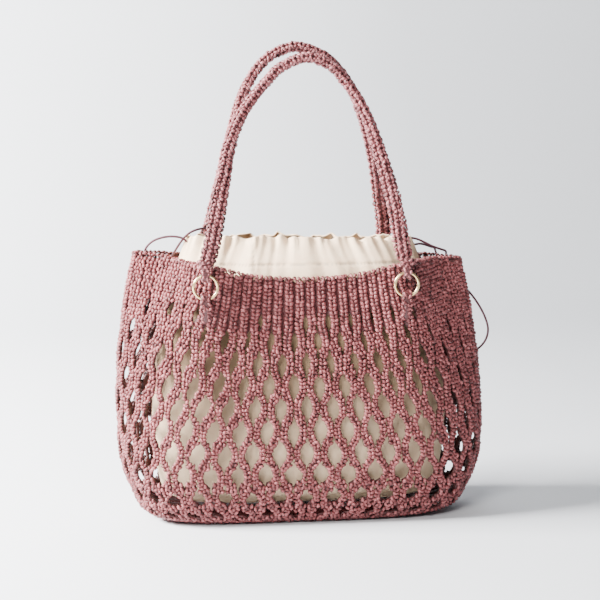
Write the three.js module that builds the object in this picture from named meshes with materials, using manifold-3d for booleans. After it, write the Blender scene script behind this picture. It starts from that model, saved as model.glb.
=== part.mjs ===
// Crochet cord bag: an open diamond net worked in thick polyester cord over an oval base, with a
// ribbed band at the rim, a cotton drawstring pouch inside, and two rope handles on four metal rings.
// Millimetres, +Z up, front towards -Y, origin on the floor under the middle of the bag.
import * as THREE from "three";
import { mergeVertices } from "three/addons/utils/BufferGeometryUtils.js";
import Module from "manifold-3d";

// Driving dimensions
const HALF_WIDTH = 173.5; // middle of the bag to the middle of the crochet wall, at the widest place
const HALF_DEPTH = 62;
const RIM_HEIGHT = 250; // at the two ends
const RIM_SAG = 15.5; // how far the rim hangs lower at the middle of the front and of the back
const RIM_TILT = 4.5; // how much higher the rim's left end stands, and how much lower its right end
const RIGHT_FULLNESS = 6; // how far the right end stands out more than the left one, low down
const WALL = 6; // thickness of the crochet wall
const BASE_THICKNESS = 6;
const MESH_PERIODS = 34; // gaps in one row, all the way round

const POUCH_END_ROOM = 27; // from the widest pouch to the inside of the wall, at the two ends
const POUCH_SIDE_ROOM = 3.5; // the same at the front and the back
const POUCH_FLOOR = 19; // height of its underside over the ground
const SEAM_DROP = 1; // from the rim's lowest point down to the line where the pouch is sewn to it
const POUCH_RISE = 18; // how far its mouth stands over the rim's ends
const POUCH_WALL = 1.6;
const POUCH_PLEATS = 10;
const PLEAT_DEPTH = 2.2;

const RING_RADIUS = 10.9; // to the middle of the wire
const RING_WIRE = 2.7;
const RING_DROP = 22.4; // from the rim's ends down to a ring's centre
const RING_INSET = 2.8; // from the wall's ring line towards the middle of the bag
const STRAP_THICKNESS = 3.2; // crochet strap that wraps a ring
const EYE_WIDTH = 8.5;
const EYE_RISE = 12.5; // from the ring's wire up to the top of the handle's eye
const EYE_TAPER = 0.75; // the eye's thickness at the top, as a share of that round the wire
const EYE_HOLE_TOP = 0.45; // as a share of EYE_RISE
const TAB_WIDTH = 11;
const TAB_TAIL = 19; // below the wrap, along the wall

const HANDLE_WIDTH = 14.8; // flat ends
const HANDLE_THICKNESS = 7.5;
const HANDLE_ROPE = 10; // rolled middle, diameter
const HANDLE_FLAT = 0.05; // share of its length that is flat at each end
const HANDLE_ROLL = 0.36; // share over which it then closes to the rope
const HANDLE_NECK = 0.023; // share over which it narrows into the eye
const HANDLE_ROOT = 0.62; // where its middle line starts, as a share of EYE_RISE
const FRONT_HANDLE_RISE = 188.7; // from the eye to the middle of the rope at the top
const BACK_HANDLE_RISE = 199.7;
const FRONT_HANDLE_LEAN = 0.7; // how far the top leans in, as a share of the ring's distance
const BACK_HANDLE_LEAN = 0.74;

const CORD_DIAMETER = 2.2;

const SEAT_GAP = 0.35; // between pieces that touch
const WIRE_CLEARANCE = 0.45; // round a ring's wire, inside a strap

const HANDLE_SIDES = 8;
const HANDLE_STEPS = 26;
const CORD_SIDES = 8;
const CORD_STEP = 2.9; // length of one of its tube's steps, in diameters

// The crochet wall's middle surface, one row for each height. Heights are shares of RIM_HEIGHT, sag of
// RIM_SAG, x of HALF_WIDTH and y of HALF_DEPTH. Its columns stand at five places along a quarter of the
// bag, from the middle of the front to the end. The first row is the wall's lower edge, flat on the
// floor round the base.
const COLUMN_PLACES = [0, 5 / 17, 10 / 17, 13.5 / 17, 1]; // front, side of front, ring line, fold, end
const SAG_AT_COLUMN = [1, 0.8, 0.12, 0, 0];
const WALL_SECTIONS = [
  { height: 0, sag: 0, x: [0, 0.215, 0.44, 0.59, 0.65], y: [0.62, 0.62, 0.59, 0.41, 0] },
  { height: 0.017, sag: 0, x: [0, 0.265, 0.535, 0.69, 0.75], y: [0.74, 0.74, 0.69, 0.48, 0] },
  { height: 0.04, sag: 0, x: [0, 0.33, 0.65, 0.81, 0.865], y: [0.85, 0.85, 0.78, 0.53, 0] },
  { height: 0.098, sag: 0, x: [0, 0.362, 0.7, 0.86, 0.918], y: [0.935, 0.935, 0.86, 0.55, 0] },
  { height: 0.22, sag: 0, x: [0, 0.371, 0.725, 0.907, 0.982], y: [1, 1, 0.92, 0.6, 0] },
  { height: 0.4, sag: 0.1, x: [0, 0.357, 0.702, 0.907, 1], y: [0.99, 0.99, 0.92, 0.58, 0] },
  { height: 0.58, sag: 0.3, x: [0, 0.333, 0.655, 0.877, 0.997], y: [0.935, 0.935, 0.88, 0.5, 0] },
  { height: 0.748, sag: 0.65, x: [0, 0.31, 0.605, 0.83, 0.971], y: [0.863, 0.863, 0.847, 0.403, 0] },
  { height: 0.888, sag: 0.9, x: [0, 0.29, 0.556, 0.772, 0.936], y: [0.79, 0.798, 0.83, 0.322, 0] },
  { height: 1, sag: 1, x: [0, 0.275, 0.53, 0.731, 0.898], y: [0.734, 0.75, 0.806, 0.274, 0] },
];

// The net's rows of gaps from the base up. top is a share of RIM_HEIGHT, width of the space between
// two gaps' middles, tall of the row's own height. Only the rows with the widest gaps are cut through.
const NET_BOTTOM = 0.038;
const NET_ROWS = [
  { top: 0.1, width: 0.42, tall: 0.6, through: "none" },
  { top: 0.172, width: 0.53, tall: 0.76, through: "faces" },
  { top: 0.254, width: 0.55, tall: 0.86, through: "all" },
  { top: 0.334, width: 0.53, tall: 0.88, through: "all" },
  { top: 0.416, width: 0.5, tall: 0.88, through: "faces" },
];
const UPPER_LINES = [0.53, 0.65, 0.78, 0.9]; // plain wall over the rows, where the gaps are narrow
const GAP_SHOULDER = 0.42; // height of a gap's two corners at each side, as a share of half its height
const FACE_REACH = 10 / 17; // the faces reach from the middle to the ring lines

// The pouch's sections from the bottom up. rise counts from 0 at its floor to 1 at the seam with the
// rim and 2 at its mouth, width and depth are shares of its half sizes, square is the exponent of the
// outline and pleat the share of PLEAT_DEPTH. At the seam its depth is the wall's.
const POUCH_SECTIONS = [
  { rise: 0, width: 0.83, depth: 0.74, square: 3, pleat: 0 },
  { rise: 0.023, width: 0.9, depth: 0.88, square: 3, pleat: 0 },
  { rise: 0.12, width: 0.97, depth: 0.99, square: 2.8, pleat: 0 },
  { rise: 0.35, width: 1, depth: 1, square: 2.6, pleat: 0 },
  { rise: 0.67, width: 0.96, depth: 0.89, square: 2.6, pleat: 0 },
  { rise: 0.88, width: 0.89, depth: 0.805, square: 2.6, pleat: 0 },
  { rise: 1, width: 0.83, depth: "wall", square: 2.8, pleat: 0.1 },
  { rise: 1.57, width: 0.795, depth: 0.495, square: 2.6, pleat: 0.5 },
  { rise: 2, width: 0.74, depth: 0.24, square: 2.4, pleat: 1 },
];

// A handle's route: across as a share of the ring line's x, rise of the handle's rise.
const FRONT_HANDLE_ROUTE = [
  { across: -1, rise: 0 },
  { across: -0.952, rise: 0.072 },
  { across: -0.898, rise: 0.194 },
  { across: -0.806, rise: 0.42 },
  { across: -0.75, rise: 0.552 },
  { across: -0.6, rise: 0.725 },
  { across: -0.357, rise: 0.879 },
  { across: -0.205, rise: 0.95 },
  { across: 0.062, rise: 1 },
  { across: 0.309, rise: 0.953 },
  { across: 0.468, rise: 0.866 },
  { across: 0.637, rise: 0.724 },
  { across: 0.826, rise: 0.415 },
  { across: 0.896, rise: 0.262 },
  { across: 0.964, rise: 0.06 },
  { across: 1, rise: 0 },
];
const BACK_HANDLE_ROUTE = [
  { across: -1, rise: 0 },
  { across: -0.874, rise: 0.134 },
  { across: -0.752, rise: 0.374 },
  { across: -0.614, rise: 0.684 },
  { across: -0.565, rise: 0.76 },
  { across: -0.452, rise: 0.87 },
  { across: -0.297, rise: 0.949 },
  { across: -0.03, rise: 1 },
  { across: 0.239, rise: 0.967 },
  { across: 0.375, rise: 0.921 },
  { across: 0.537, rise: 0.831 },
  { across: 0.697, rise: 0.684 },
  { across: 0.87, rise: 0.449 },
  { across: 0.943, rise: 0.288 },
  { across: 1.005, rise: 0.125 },
  { across: 1, rise: 0 },
];

// The drawstring's two loops, each out of the pouch's channel and back into it. Points in millimetres.
const LEFT_CORD_ROUTE = [
  [-106.9, -4.5, 264.1], [-111.4, -5, 267.4], [-119.5, -5, 269], [-129, -5, 268.3], [-139, -4, 264.5],
  [-145.5, -2, 257.5], [-147.3, 0, 248], [-147, 1, 236], [-142.5, 2, 224], [-135, 3, 221], [-128.5, 3, 228],
  [-125, 3, 238], [-121.5, 3, 248], [-116.5, 1, 257], [-110.5, -2, 266], [-104, -2, 272],
  [-96, 1, 275], [-88.5, 7, 275], [-83.5, 13.5, 271.5], [-82, 18, 265.5],
];
const RIGHT_CORD_ROUTE = [
  [111.8, -3, 258.5], [117.5, -1, 259], [124, 3, 257.3], [130.5, 8.5, 254.8], [135, 14.5, 253.2],
  [138, 20, 248], [143, 24.5, 239], [151, 26.5, 229], [161, 25.5, 220], [171, 22, 210],
  [180.5, 17.5, 197], [187.5, 14.5, 183], [190.3, 13.5, 171], [187.5, 14, 160], [180, 17, 151],
  [170, 24, 146.5], [160, 31.5, 149], [153, 36, 158], [149.5, 36.5, 174], [148, 33.5, 194],
  [147.5, 28, 216], [147, 20.5, 233], [146.5, 13.5, 246.3], [145, 8.5, 250.6], [139.5, 4.5, 252.8],
  [131, 3.5, 255.9], [122, 4, 260.3], [115, 4.5, 263.3], [109.3, 4.5, 264.3],
];

const wasm = await Module();
wasm.setup();

const cordPink = new THREE.MeshStandardMaterial({ color: 0xa96c74, roughness: 0.55, metalness: 0 });
const handlePink = new THREE.MeshStandardMaterial({ color: 0xa86a73, roughness: 0.55, metalness: 0 });
const cream = new THREE.MeshStandardMaterial({ color: 0xe9ddcd, roughness: 0.9, metalness: 0 });
const paleGold = new THREE.MeshStandardMaterial({ color: 0xdcc9a4, roughness: 0.25, metalness: 1 });
const mauve = new THREE.MeshStandardMaterial({ color: 0x6b454f, roughness: 0.5, metalness: 0 });

// Curves and solids

function catmullRom(before, from, to, after, t) {
  const square = t * t;
  const cube = square * t;
  const bend = (2 * before - 5 * from + 4 * to - after) * square;
  const twist = (3 * from - before - 3 * to + after) * cube;
  return 0.5 * (2 * from + (to - before) * t + bend + twist);
}

function smoothStep(t) {
  const s = Math.min(1, Math.max(0, t));
  return s * s * (3 - 2 * s);
}

// Turns every face outwards, if the closed surface was made inside out.
function facingOut(positions, faces) {
  const a = new THREE.Vector3();
  const b = new THREE.Vector3();
  const c = new THREE.Vector3();
  let volume = 0;
  for (const [i, j, k] of faces) {
    volume += a.copy(positions[i]).dot(b.copy(positions[j]).cross(c.copy(positions[k])));
  }
  return volume < 0 ? faces.map(([i, j, k]) => [i, k, j]) : faces;
}

function geometryFrom(positions, faces) {
  const geometry = new THREE.BufferGeometry().setFromPoints(positions);
  geometry.setIndex(facingOut(positions, faces).flat());
  geometry.computeVertexNormals();
  return geometry;
}

// A closed body through rings that all have the same number of points, with flat ends.
function loft(rings) {
  const positions = rings.flat();
  const count = rings[0].length;
  const faces = [];
  for (let ring = 0; ring + 1 < rings.length; ring++) {
    for (let i = 0; i < count; i++) {
      const a = ring * count + i;
      const b = ring * count + ((i + 1) % count);
      faces.push([a, b, b + count], [a, b + count, a + count]);
    }
  }
  const last = (rings.length - 1) * count;
  for (let i = 1; i + 1 < count; i++) {
    faces.push([0, i + 1, i], [last, last + i, last + i + 1]);
  }
  return geometryFrom(positions, faces);
}

function solidOf(geometry) {
  const bare = new THREE.BufferGeometry();
  bare.setAttribute("position", geometry.getAttribute("position").clone());
  if (geometry.index) bare.setIndex(geometry.index.clone());
  const merged = mergeVertices(bare, 1e-4);
  return new wasm.Manifold(
    new wasm.Mesh({
      numProp: 3,
      vertProperties: merged.attributes.position.array,
      triVerts: new Uint32Array(merged.index.array),
    }),
  );
}

function geometryOf(solid) {
  const mesh = solid.getMesh();
  const geometry = new THREE.BufferGeometry();
  geometry.setAttribute("position", new THREE.BufferAttribute(mesh.vertProperties, 3));
  geometry.setIndex(new THREE.BufferAttribute(mesh.triVerts, 1));
  geometry.computeVertexNormals();
  return geometry;
}

// The crochet wall's shape

const RIBS = 2 * MESH_PERIODS; // two ribs to each period, counted from the middle of the front
const QUARTER = RIBS / 4;
const PROBES = 12; // measurements of the wall each way, over one row of the table
const PROBES_PER_RIB = 3;
const PROBE_REACH = 2;

const TILT_LEVEL = 6; // the row from which the rim's tilt grows
const FULLEST_LEVEL = 4; // the row where the right end is fullest
const FULL_SPAN = 3; // rows above it over which that dies away

// A value on the table's columns at a share of the quarter. odd values change sign past the front.
function acrossColumns(values, place, oddAtFront, oddAtEnd) {
  const frontSign = oddAtFront ? -1 : 1;
  const endSign = oddAtEnd ? -1 : 1;
  const last = COLUMN_PLACES.length - 1;
  let i = 0;
  while (i < last - 1 && place > COLUMN_PLACES[i + 1]) i++;
  const before = i > 0 ? values[i - 1] : frontSign * values[1];
  const after = i + 2 <= last ? values[i + 2] : endSign * values[last - 1];
  const placeBefore = i > 0 ? COLUMN_PLACES[i - 1] : -COLUMN_PLACES[1];
  const placeAfter = i + 2 <= last ? COLUMN_PLACES[i + 2] : 2 - COLUMN_PLACES[last - 1];
  const span = COLUMN_PLACES[i + 1] - COLUMN_PLACES[i];
  const t = (place - COLUMN_PLACES[i]) / span;
  const slopeFrom = ((values[i + 1] - before) / (COLUMN_PLACES[i + 1] - placeBefore)) * span;
  const slopeTo = ((after - values[i]) / (placeAfter - COLUMN_PLACES[i])) * span;
  const s = t * t;
  const c = s * t;
  const held = (2 * c - 3 * s + 1) * values[i] + (3 * s - 2 * c) * values[i + 1];
  return held + (c - 2 * s + t) * slopeFrom + (c - s) * slopeTo;
}

// Where a rib number falls: its share of a quarter, and the signs of x and y there.
function quarterOf(rib) {
  const around = ((rib % RIBS) + RIBS) % RIBS;
  const turn = Math.floor(around / QUARTER);
  const along = around - turn * QUARTER;
  const share = turn % 2 === 0 ? along / QUARTER : 1 - along / QUARTER;
  return { share, xSign: turn < 2 ? 1 : -1, ySign: turn === 0 || turn === 3 ? -1 : 1 };
}

function sectionPoint(index, quarter) {
  const last = WALL_SECTIONS.length - 1;
  if (index < 0) {
    // Mirrored below the base edge, so that the wall starts level there.
    const [edge, next] = [sectionPoint(0, quarter), sectionPoint(1, quarter)];
    return new THREE.Vector3(2 * edge.x - next.x, 2 * edge.y - next.y, next.z);
  }
  if (index > last) {
    return sectionPoint(last, quarter).multiplyScalar(2).sub(sectionPoint(last - 1, quarter));
  }
  const section = WALL_SECTIONS[index];
  const sag = section.sag * RIM_SAG * acrossColumns(SAG_AT_COLUMN, quarter.share, false, false);
  return new THREE.Vector3(
    quarter.xSign * HALF_WIDTH * acrossColumns(section.x, quarter.share, true, false),
    quarter.ySign * HALF_DEPTH * acrossColumns(section.y, quarter.share, false, true),
    Math.max(WALL / 2, section.height * RIM_HEIGHT - sag),
  );
}

// A point on the middle of the wall of an even bag. level counts the table's rows.
function evenMiddle(rib, level) {
  const quarter = quarterOf(rib);
  const from = Math.max(0, Math.min(Math.floor(level), WALL_SECTIONS.length - 2));
  const points = [-1, 0, 1, 2].map((step) => sectionPoint(from + step, quarter));
  const along = (axis) => catmullRom(...points.map((p) => p[axis]), level - from);
  return new THREE.Vector3(along("x"), along("y"), along("z"));
}

// The same point with the rim's tilt and the fuller right end.
function wallMiddle(rib, level) {
  const point = evenMiddle(rib, level);
  const { share, xSign } = quarterOf(rib);
  const atEnd = smoothStep((share - FACE_REACH) / (1 - FACE_REACH));
  const top = WALL_SECTIONS.length - 1;
  point.z -= xSign * RIM_TILT * atEnd * smoothStep((level - TILT_LEVEL) / (top - TILT_LEVEL));
  if (xSign > 0) point.x += RIGHT_FULLNESS * atEnd * fullnessAt(level);
  return point;
}

// Share of the right end's fullness: none at the floor, all of it low on the wall, none higher up.
function fullnessAt(level) {
  return smoothStep(level / FULLEST_LEVEL) * (1 - smoothStep((level - FULLEST_LEVEL) / FULL_SPAN));
}

// The level at which the wall's ends have this share of the rim's height.
function levelAt(height) {
  let low = 0;
  let high = WALL_SECTIONS.length - 1;
  for (let i = 0; i < 40; i++) {
    const middle = (low + high) / 2;
    if (evenMiddle(QUARTER, middle).z < height * RIM_HEIGHT) low = middle;
    else high = middle;
  }
  return (low + high) / 2;
}

function wallNormal(rib, level) {
  const step = 1e-3;
  const top = WALL_SECTIONS.length - 1;
  const around = wallMiddle(rib + step, level).sub(wallMiddle(rib - step, level));
  const up = wallMiddle(rib, Math.min(top, level + step));
  up.sub(wallMiddle(rib, Math.max(0, level - step)));
  return around.cross(up).normalize();
}

// A point on the wall's face: side 1 is the outside, -1 the inside.
function wallFace(rib, level, side) {
  return wallMiddle(rib, level).addScaledVector(wallNormal(rib, level), (side * WALL) / 2);
}

const RING_RIB = FACE_REACH * QUARTER;
const RING_Z = RIM_HEIGHT - RING_DROP;
const RING_X = wallMiddle(RING_RIB, levelAt(RING_Z / RIM_HEIGHT)).x - RING_INSET;

// Distances from the bag's long axis to one face of the wall, at every probe near a height and an x.
function wallDepths(side, height, x, halfSpan) {
  const depths = [];
  const middle = levelAt(height / RIM_HEIGHT);
  for (let step = -PROBES; step <= PROBES; step++) {
    const level = Math.min(WALL_SECTIONS.length - 1, middle + step / PROBES);
    for (let probe = 0; probe <= QUARTER * PROBES_PER_RIB; probe++) {
      const point = wallFace(probe / PROBES_PER_RIB, level, side);
      const near = Math.abs(point.x - x) <= halfSpan + PROBE_REACH;
      if (near && Math.abs(point.z - height) <= PROBE_REACH) depths.push(Math.abs(point.y));
    }
  }
  return depths;
}

// How far the wall's outside reaches behind a strap at a ring.
function wallReach(height) {
  return Math.max(...wallDepths(1, height, RING_X, TAB_WIDTH / 2));
}

// Collects the two skins of the wall, face by face, and the edges between them.
class WallSkin {
  positions = [];
  faces = [];
  known = new Map();

  // The outer point's index; the inner one follows it.
  at(rib, level) {
    const key = (((rib % RIBS) + RIBS) % RIBS).toFixed(3) + "/" + level.toFixed(5);
    if (!this.known.has(key)) {
      this.known.set(key, this.positions.length);
      this.positions.push(wallFace(rib, level, 1), wallFace(rib, level, -1));
    }
    return this.known.get(key);
  }

  // A polygon of outer points, turned as seen from outside, on both skins.
  polygon(points) {
    for (let i = 1; i + 1 < points.length; i++) {
      const [a, b, c] = [points[0], points[i], points[i + 1]];
      this.faces.push([a, b, c], [a + 1, c + 1, b + 1]);
    }
  }

  // The narrow face between the skins, along an edge that has the wall on its left.
  edge(a, b) {
    this.faces.push([b, a, a + 1], [b, a + 1, b + 1]);
  }
}

function isCut(row, gapRib) {
  if (row.through === "faces") return quarterOf(gapRib).share < FACE_REACH;
  return row.through === "all";
}

// One cell of the net: a block of wall two ribs wide, with or without its six-sided gap.
function addCell(skin, row, gapRib, low, high) {
  const middle = (low + high) / 2;
  const border = [
    skin.at(gapRib - 1, low), skin.at(gapRib, low), skin.at(gapRib + 1, low),
    skin.at(gapRib + 1, middle), skin.at(gapRib + 1, high), skin.at(gapRib, high),
    skin.at(gapRib - 1, high), skin.at(gapRib - 1, middle),
  ];
  if (!isCut(row, gapRib)) {
    skin.polygon(border);
    return;
  }
  const halfGap = row.width; // in ribs, of which a period has two
  const rise = (row.tall * (high - low)) / 2;
  const shoulder = rise * GAP_SHOULDER;
  const gap = [
    skin.at(gapRib, middle - rise), skin.at(gapRib + halfGap, middle - shoulder),
    skin.at(gapRib + halfGap, middle + shoulder), skin.at(gapRib, middle + rise),
    skin.at(gapRib - halfGap, middle + shoulder), skin.at(gapRib - halfGap, middle - shoulder),
  ];
  skin.polygon([border[0], border[1], gap[0]]);
  skin.polygon([border[1], border[2], gap[0]]);
  skin.polygon([border[2], gap[1], gap[0]]);
  skin.polygon([border[2], border[3], gap[1]]);
  skin.polygon([border[3], gap[2], gap[1]]);
  skin.polygon([border[3], border[4], gap[2]]);
  skin.polygon([border[4], gap[3], gap[2]]);
  skin.polygon([border[4], border[5], gap[3]]);
  skin.polygon([border[5], border[6], gap[3]]);
  skin.polygon([border[6], gap[4], gap[3]]);
  skin.polygon([border[6], border[7], gap[4]]);
  skin.polygon([border[7], gap[5], gap[4]]);
  skin.polygon([border[7], border[0], gap[5]]);
  skin.polygon([border[0], gap[0], gap[5]]);
  for (let i = 0; i < gap.length; i++) skin.edge(gap[(i + 1) % gap.length], gap[i]);
}

function netWall() {
  const skin = new WallSkin();
  const netLevels = [NET_BOTTOM, ...NET_ROWS.map((row) => row.top)].map(levelAt);
  const top = levelAt(1);
  const plainStrip = (low, high) => {
    for (let rib = 0; rib < RIBS; rib++) {
      skin.polygon([
        skin.at(rib, low), skin.at(rib + 1, low), skin.at(rib + 1, high), skin.at(rib, high),
      ]);
    }
  };
  plainStrip(0, 1);
  plainStrip(1, netLevels[0]);
  NET_ROWS.forEach((row, index) => {
    const [low, high] = [netLevels[index], netLevels[index + 1]];
    if (row.through === "none") {
      plainStrip(low, high);
      return;
    }
    for (let period = 0; period < MESH_PERIODS; period++) {
      addCell(skin, row, 2 * period + ((index + 1) % 2), low, high);
    }
  });
  const upper = [netLevels.at(-1), ...UPPER_LINES.map(levelAt), top];
  for (let i = 0; i + 1 < upper.length; i++) plainStrip(upper[i], upper[i + 1]);
  for (let rib = 0; rib < RIBS; rib++) {
    skin.edge(skin.at(rib, 0), skin.at(rib + 1, 0));
    skin.edge(skin.at(rib + 1, top), skin.at(rib, top));
  }
  return geometryFrom(skin.positions, skin.faces);
}

function base() {
  const outline = [];
  for (let rib = 0; rib < RIBS; rib++) {
    const point = wallMiddle(rib, 0);
    const along = wallMiddle(rib + 1, 0).sub(wallMiddle(rib - 1, 0)).normalize();
    outline.push(new THREE.Vector2(point.x - SEAT_GAP * along.y, point.y + SEAT_GAP * along.x));
  }
  return new THREE.ExtrudeGeometry(new THREE.Shape(outline), {
    depth: BASE_THICKNESS,
    bevelEnabled: false,
  });
}

// The pouch

const POUCH_HALF_WIDTH = HALF_WIDTH - WALL / 2 - POUCH_END_ROOM;
const POUCH_HALF_DEPTH = HALF_DEPTH - WALL / 2 - POUCH_SIDE_ROOM;
const POUCH_TOP = RIM_HEIGHT + POUCH_RISE;
const SEAM_Z = RIM_HEIGHT - RIM_SAG - SEAM_DROP;
const SEAM_HALF_DEPTH = Math.min(...wallDepths(-1, SEAM_Z, 0, 0)) - SEAT_GAP;
const COLUMNS_PER_PLEAT = 4;
const POUCH_COLUMNS = COLUMNS_PER_PLEAT * POUCH_PLEATS;

function pouchSection(section, inset, floorLift) {
  const z =
    section.rise <= 1
      ? THREE.MathUtils.lerp(POUCH_FLOOR, SEAM_Z, section.rise)
      : THREE.MathUtils.lerp(SEAM_Z, POUCH_TOP, section.rise - 1);
  const halfWidth = section.width * POUCH_HALF_WIDTH - inset;
  const sewn = section.depth === "wall";
  const halfDepth = (sewn ? SEAM_HALF_DEPTH : section.depth * POUCH_HALF_DEPTH) - inset;
  const power = 2 / section.square;
  const points = [];
  for (let i = 0; i < POUCH_COLUMNS; i++) {
    const angle = (2 * Math.PI * i) / POUCH_COLUMNS;
    const [c, s] = [Math.cos(angle), Math.sin(angle)];
    const pleat = section.pleat * PLEAT_DEPTH * (1 - Math.cos(POUCH_PLEATS * angle)) * 0.5;
    const x = Math.sign(c) * Math.abs(c) ** power * (halfWidth - pleat);
    const y = Math.sign(s) * Math.abs(s) ** power * (halfDepth - pleat);
    points.push(new THREE.Vector3(x, y, z + floorLift));
  }
  return points;
}

function pouch() {
  const outside = POUCH_SECTIONS.map((section) => pouchSection(section, 0, 0));
  const inside = POUCH_SECTIONS.map((section, i) =>
    pouchSection(section, POUCH_WALL, POUCH_WALL * Math.max(0, 1 - i / 2)),
  );
  return loft([...outside, ...inside.reverse()]);
}

// Rings, straps and handles

const STRAP_HALF = RING_WIRE / 2 + WIRE_CLEARANCE + STRAP_THICKNESS;
const HOLE_HALF = RING_WIRE / 2 + WIRE_CLEARANCE;
const RING_BACKING = [-1, 0, 1].map((side) => wallReach(RING_Z + side * RING_RADIUS));
const RING_Y = Math.max(...RING_BACKING) + SEAT_GAP + STRAP_HALF;

// From a ring's centre to the middle of the round end of a strap's hole, which clears the wire's inner
// edge where it curves away under the strap's two sides.
function holeCentre(strapWidth) {
  const innerEdge = (RING_RADIUS - RING_WIRE / 2) ** 2 - (strapWidth / 2) ** 2;
  return Math.sqrt(innerEdge) - WIRE_CLEARANCE + HOLE_HALF;
}

function ring() {
  return new THREE.TorusGeometry(RING_RADIUS, RING_WIRE / 2, 5, 20).rotateX(Math.PI / 2);
}

// Half a circle of points in the strap's own side view, from its back to its front.
function halfCircle(path, radius, centreZ, over) {
  const steps = 6;
  for (let i = 0; i <= steps; i++) {
    const angle = (over ? 1 : -1) * (Math.PI * i) / steps;
    path.push(new THREE.Vector2(radius * Math.cos(angle), centreZ + radius * Math.sin(angle)));
  }
}

// Extrudes a side view, x towards the bag and y up, to a strap centred on a ring's x.
function strapSolid(outline, hole, width) {
  const shape = new THREE.Shape(outline);
  shape.holes.push(new THREE.Path([...hole].reverse()));
  const geometry = new THREE.ExtrudeGeometry(shape, { depth: width, bevelEnabled: false });
  geometry.translate(0, 0, -width / 2);
  const upright = new THREE.Matrix4().makeBasis(
    new THREE.Vector3(0, 1, 0),
    new THREE.Vector3(0, 0, 1),
    new THREE.Vector3(1, 0, 0),
  );
  return geometry.applyMatrix4(upright);
}

// The eye at a handle's end, round the top of a ring that is centred on the origin.
function handleEye() {
  const holeLow = holeCentre(EYE_WIDTH);
  const outline = [];
  halfCircle(outline, STRAP_HALF, holeLow, false);
  const top = RING_RADIUS + EYE_RISE;
  const topHalf = STRAP_HALF * EYE_TAPER;
  outline.push(new THREE.Vector2(-topHalf, top), new THREE.Vector2(topHalf, top));
  const hole = [];
  halfCircle(hole, HOLE_HALF, holeLow, false);
  const holeTop = RING_RADIUS + EYE_RISE * EYE_HOLE_TOP;
  hole.push(new THREE.Vector2(-HOLE_HALF, holeTop), new THREE.Vector2(HOLE_HALF, holeTop));
  return strapSolid(outline, hole, EYE_WIDTH);
}

// The tab that comes up from the net and wraps the bottom of a ring centred on the origin.
function ringTab() {
  const holeHigh = -holeCentre(TAB_WIDTH);
  const holeLow = -RING_RADIUS - RING_WIRE / 2 - WIRE_CLEARANCE;
  const outline = [];
  halfCircle(outline, STRAP_HALF, holeHigh, true);
  const backAt = (z) => RING_Y - wallReach(RING_Z + z) - SEAT_GAP;
  const front = [];
  const back = [];
  for (const share of [0, 0.3, 0.6, 1]) {
    const z = holeLow - STRAP_THICKNESS - share * TAB_TAIL;
    const thickness = THREE.MathUtils.lerp(2 * STRAP_HALF, STRAP_THICKNESS, smoothStep(share));
    const rear = Math.min(STRAP_HALF, backAt(z));
    front.push(new THREE.Vector2(rear - thickness, z));
    back.push(new THREE.Vector2(rear, z));
  }
  outline.push(...front, ...back.reverse());
  const hole = [];
  halfCircle(hole, HOLE_HALF, holeHigh, true);
  hole.push(new THREE.Vector2(-HOLE_HALF, holeLow), new THREE.Vector2(HOLE_HALF, holeLow));
  return strapSolid(outline, hole, TAB_WIDTH);
}

// The handle's rope: flat at its ends and rolled round between them.
function handleRope(route, rise, lean) {
  const start = RING_Z + RING_RADIUS + EYE_RISE * HANDLE_ROOT;
  const points = route.map((place) => {
    const leaning = smoothStep(place.rise);
    return new THREE.Vector3(
      place.across * RING_X,
      -RING_Y * (1 - lean * leaning),
      start + place.rise * rise,
    );
  });
  const curve = new THREE.CatmullRomCurve3(points, false, "centripetal");
  const rings = [];
  for (let step = 0; step <= HANDLE_STEPS; step++) {
    const along = step / HANDLE_STEPS;
    const centre = curve.getPointAt(along);
    const tangent = curve.getTangentAt(along);
    const across = new THREE.Vector3(0, 1, 0).cross(tangent).normalize();
    const through = tangent.clone().cross(across);
    const fromEnd = Math.min(along, 1 - along);
    const rolled = smoothStep((fromEnd - HANDLE_FLAT) / HANDLE_ROLL);
    const wide = THREE.MathUtils.lerp(HANDLE_WIDTH, HANDLE_ROPE, rolled);
    const width = THREE.MathUtils.lerp(EYE_WIDTH, wide, smoothStep(fromEnd / HANDLE_NECK));
    const thickness = THREE.MathUtils.lerp(HANDLE_THICKNESS, HANDLE_ROPE, rolled);
    const ringPoints = [];
    for (let i = 0; i < HANDLE_SIDES; i++) {
      const angle = (2 * Math.PI * (i + 0.5)) / HANDLE_SIDES;
      const point = centre.clone().addScaledVector(across, (Math.cos(angle) * width) / 2);
      ringPoints.push(point.addScaledVector(through, (Math.sin(angle) * thickness) / 2));
    }
    rings.push(ringPoints);
  }
  return loft(rings);
}

function handle(route, rise, lean) {
  let solid = solidOf(handleRope(route, rise, lean));
  for (const side of [-1, 1]) {
    const eye = handleEye().translate(side * RING_X, -RING_Y, RING_Z);
    solid = solid.add(solidOf(eye));
  }
  return geometryOf(solid);
}

function drawstring(route) {
  const curve = new THREE.CatmullRomCurve3(
    route.map(([x, y, z]) => new THREE.Vector3(x, y, z)),
    false,
    "centripetal",
  );
  const section = new THREE.Shape();
  for (let i = 0; i < CORD_SIDES; i++) {
    const angle = (2 * Math.PI * i) / CORD_SIDES;
    const [x, y] = [Math.cos(angle), Math.sin(angle)].map((v) => (v * CORD_DIAMETER) / 2);
    if (i === 0) section.moveTo(x, y);
    else section.lineTo(x, y);
  }
  return new THREE.ExtrudeGeometry(section, {
    steps: Math.ceil(curve.getLength() / (CORD_STEP * CORD_DIAMETER)),
    extrudePath: curve,
    bevelEnabled: false,
  });
}

// Assembly

const bag = new THREE.Group();

function place(name, geometry, material, parent = bag) {
  const mesh = new THREE.Mesh(geometry, material);
  mesh.name = name;
  parent.add(mesh);
  return mesh;
}

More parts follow.
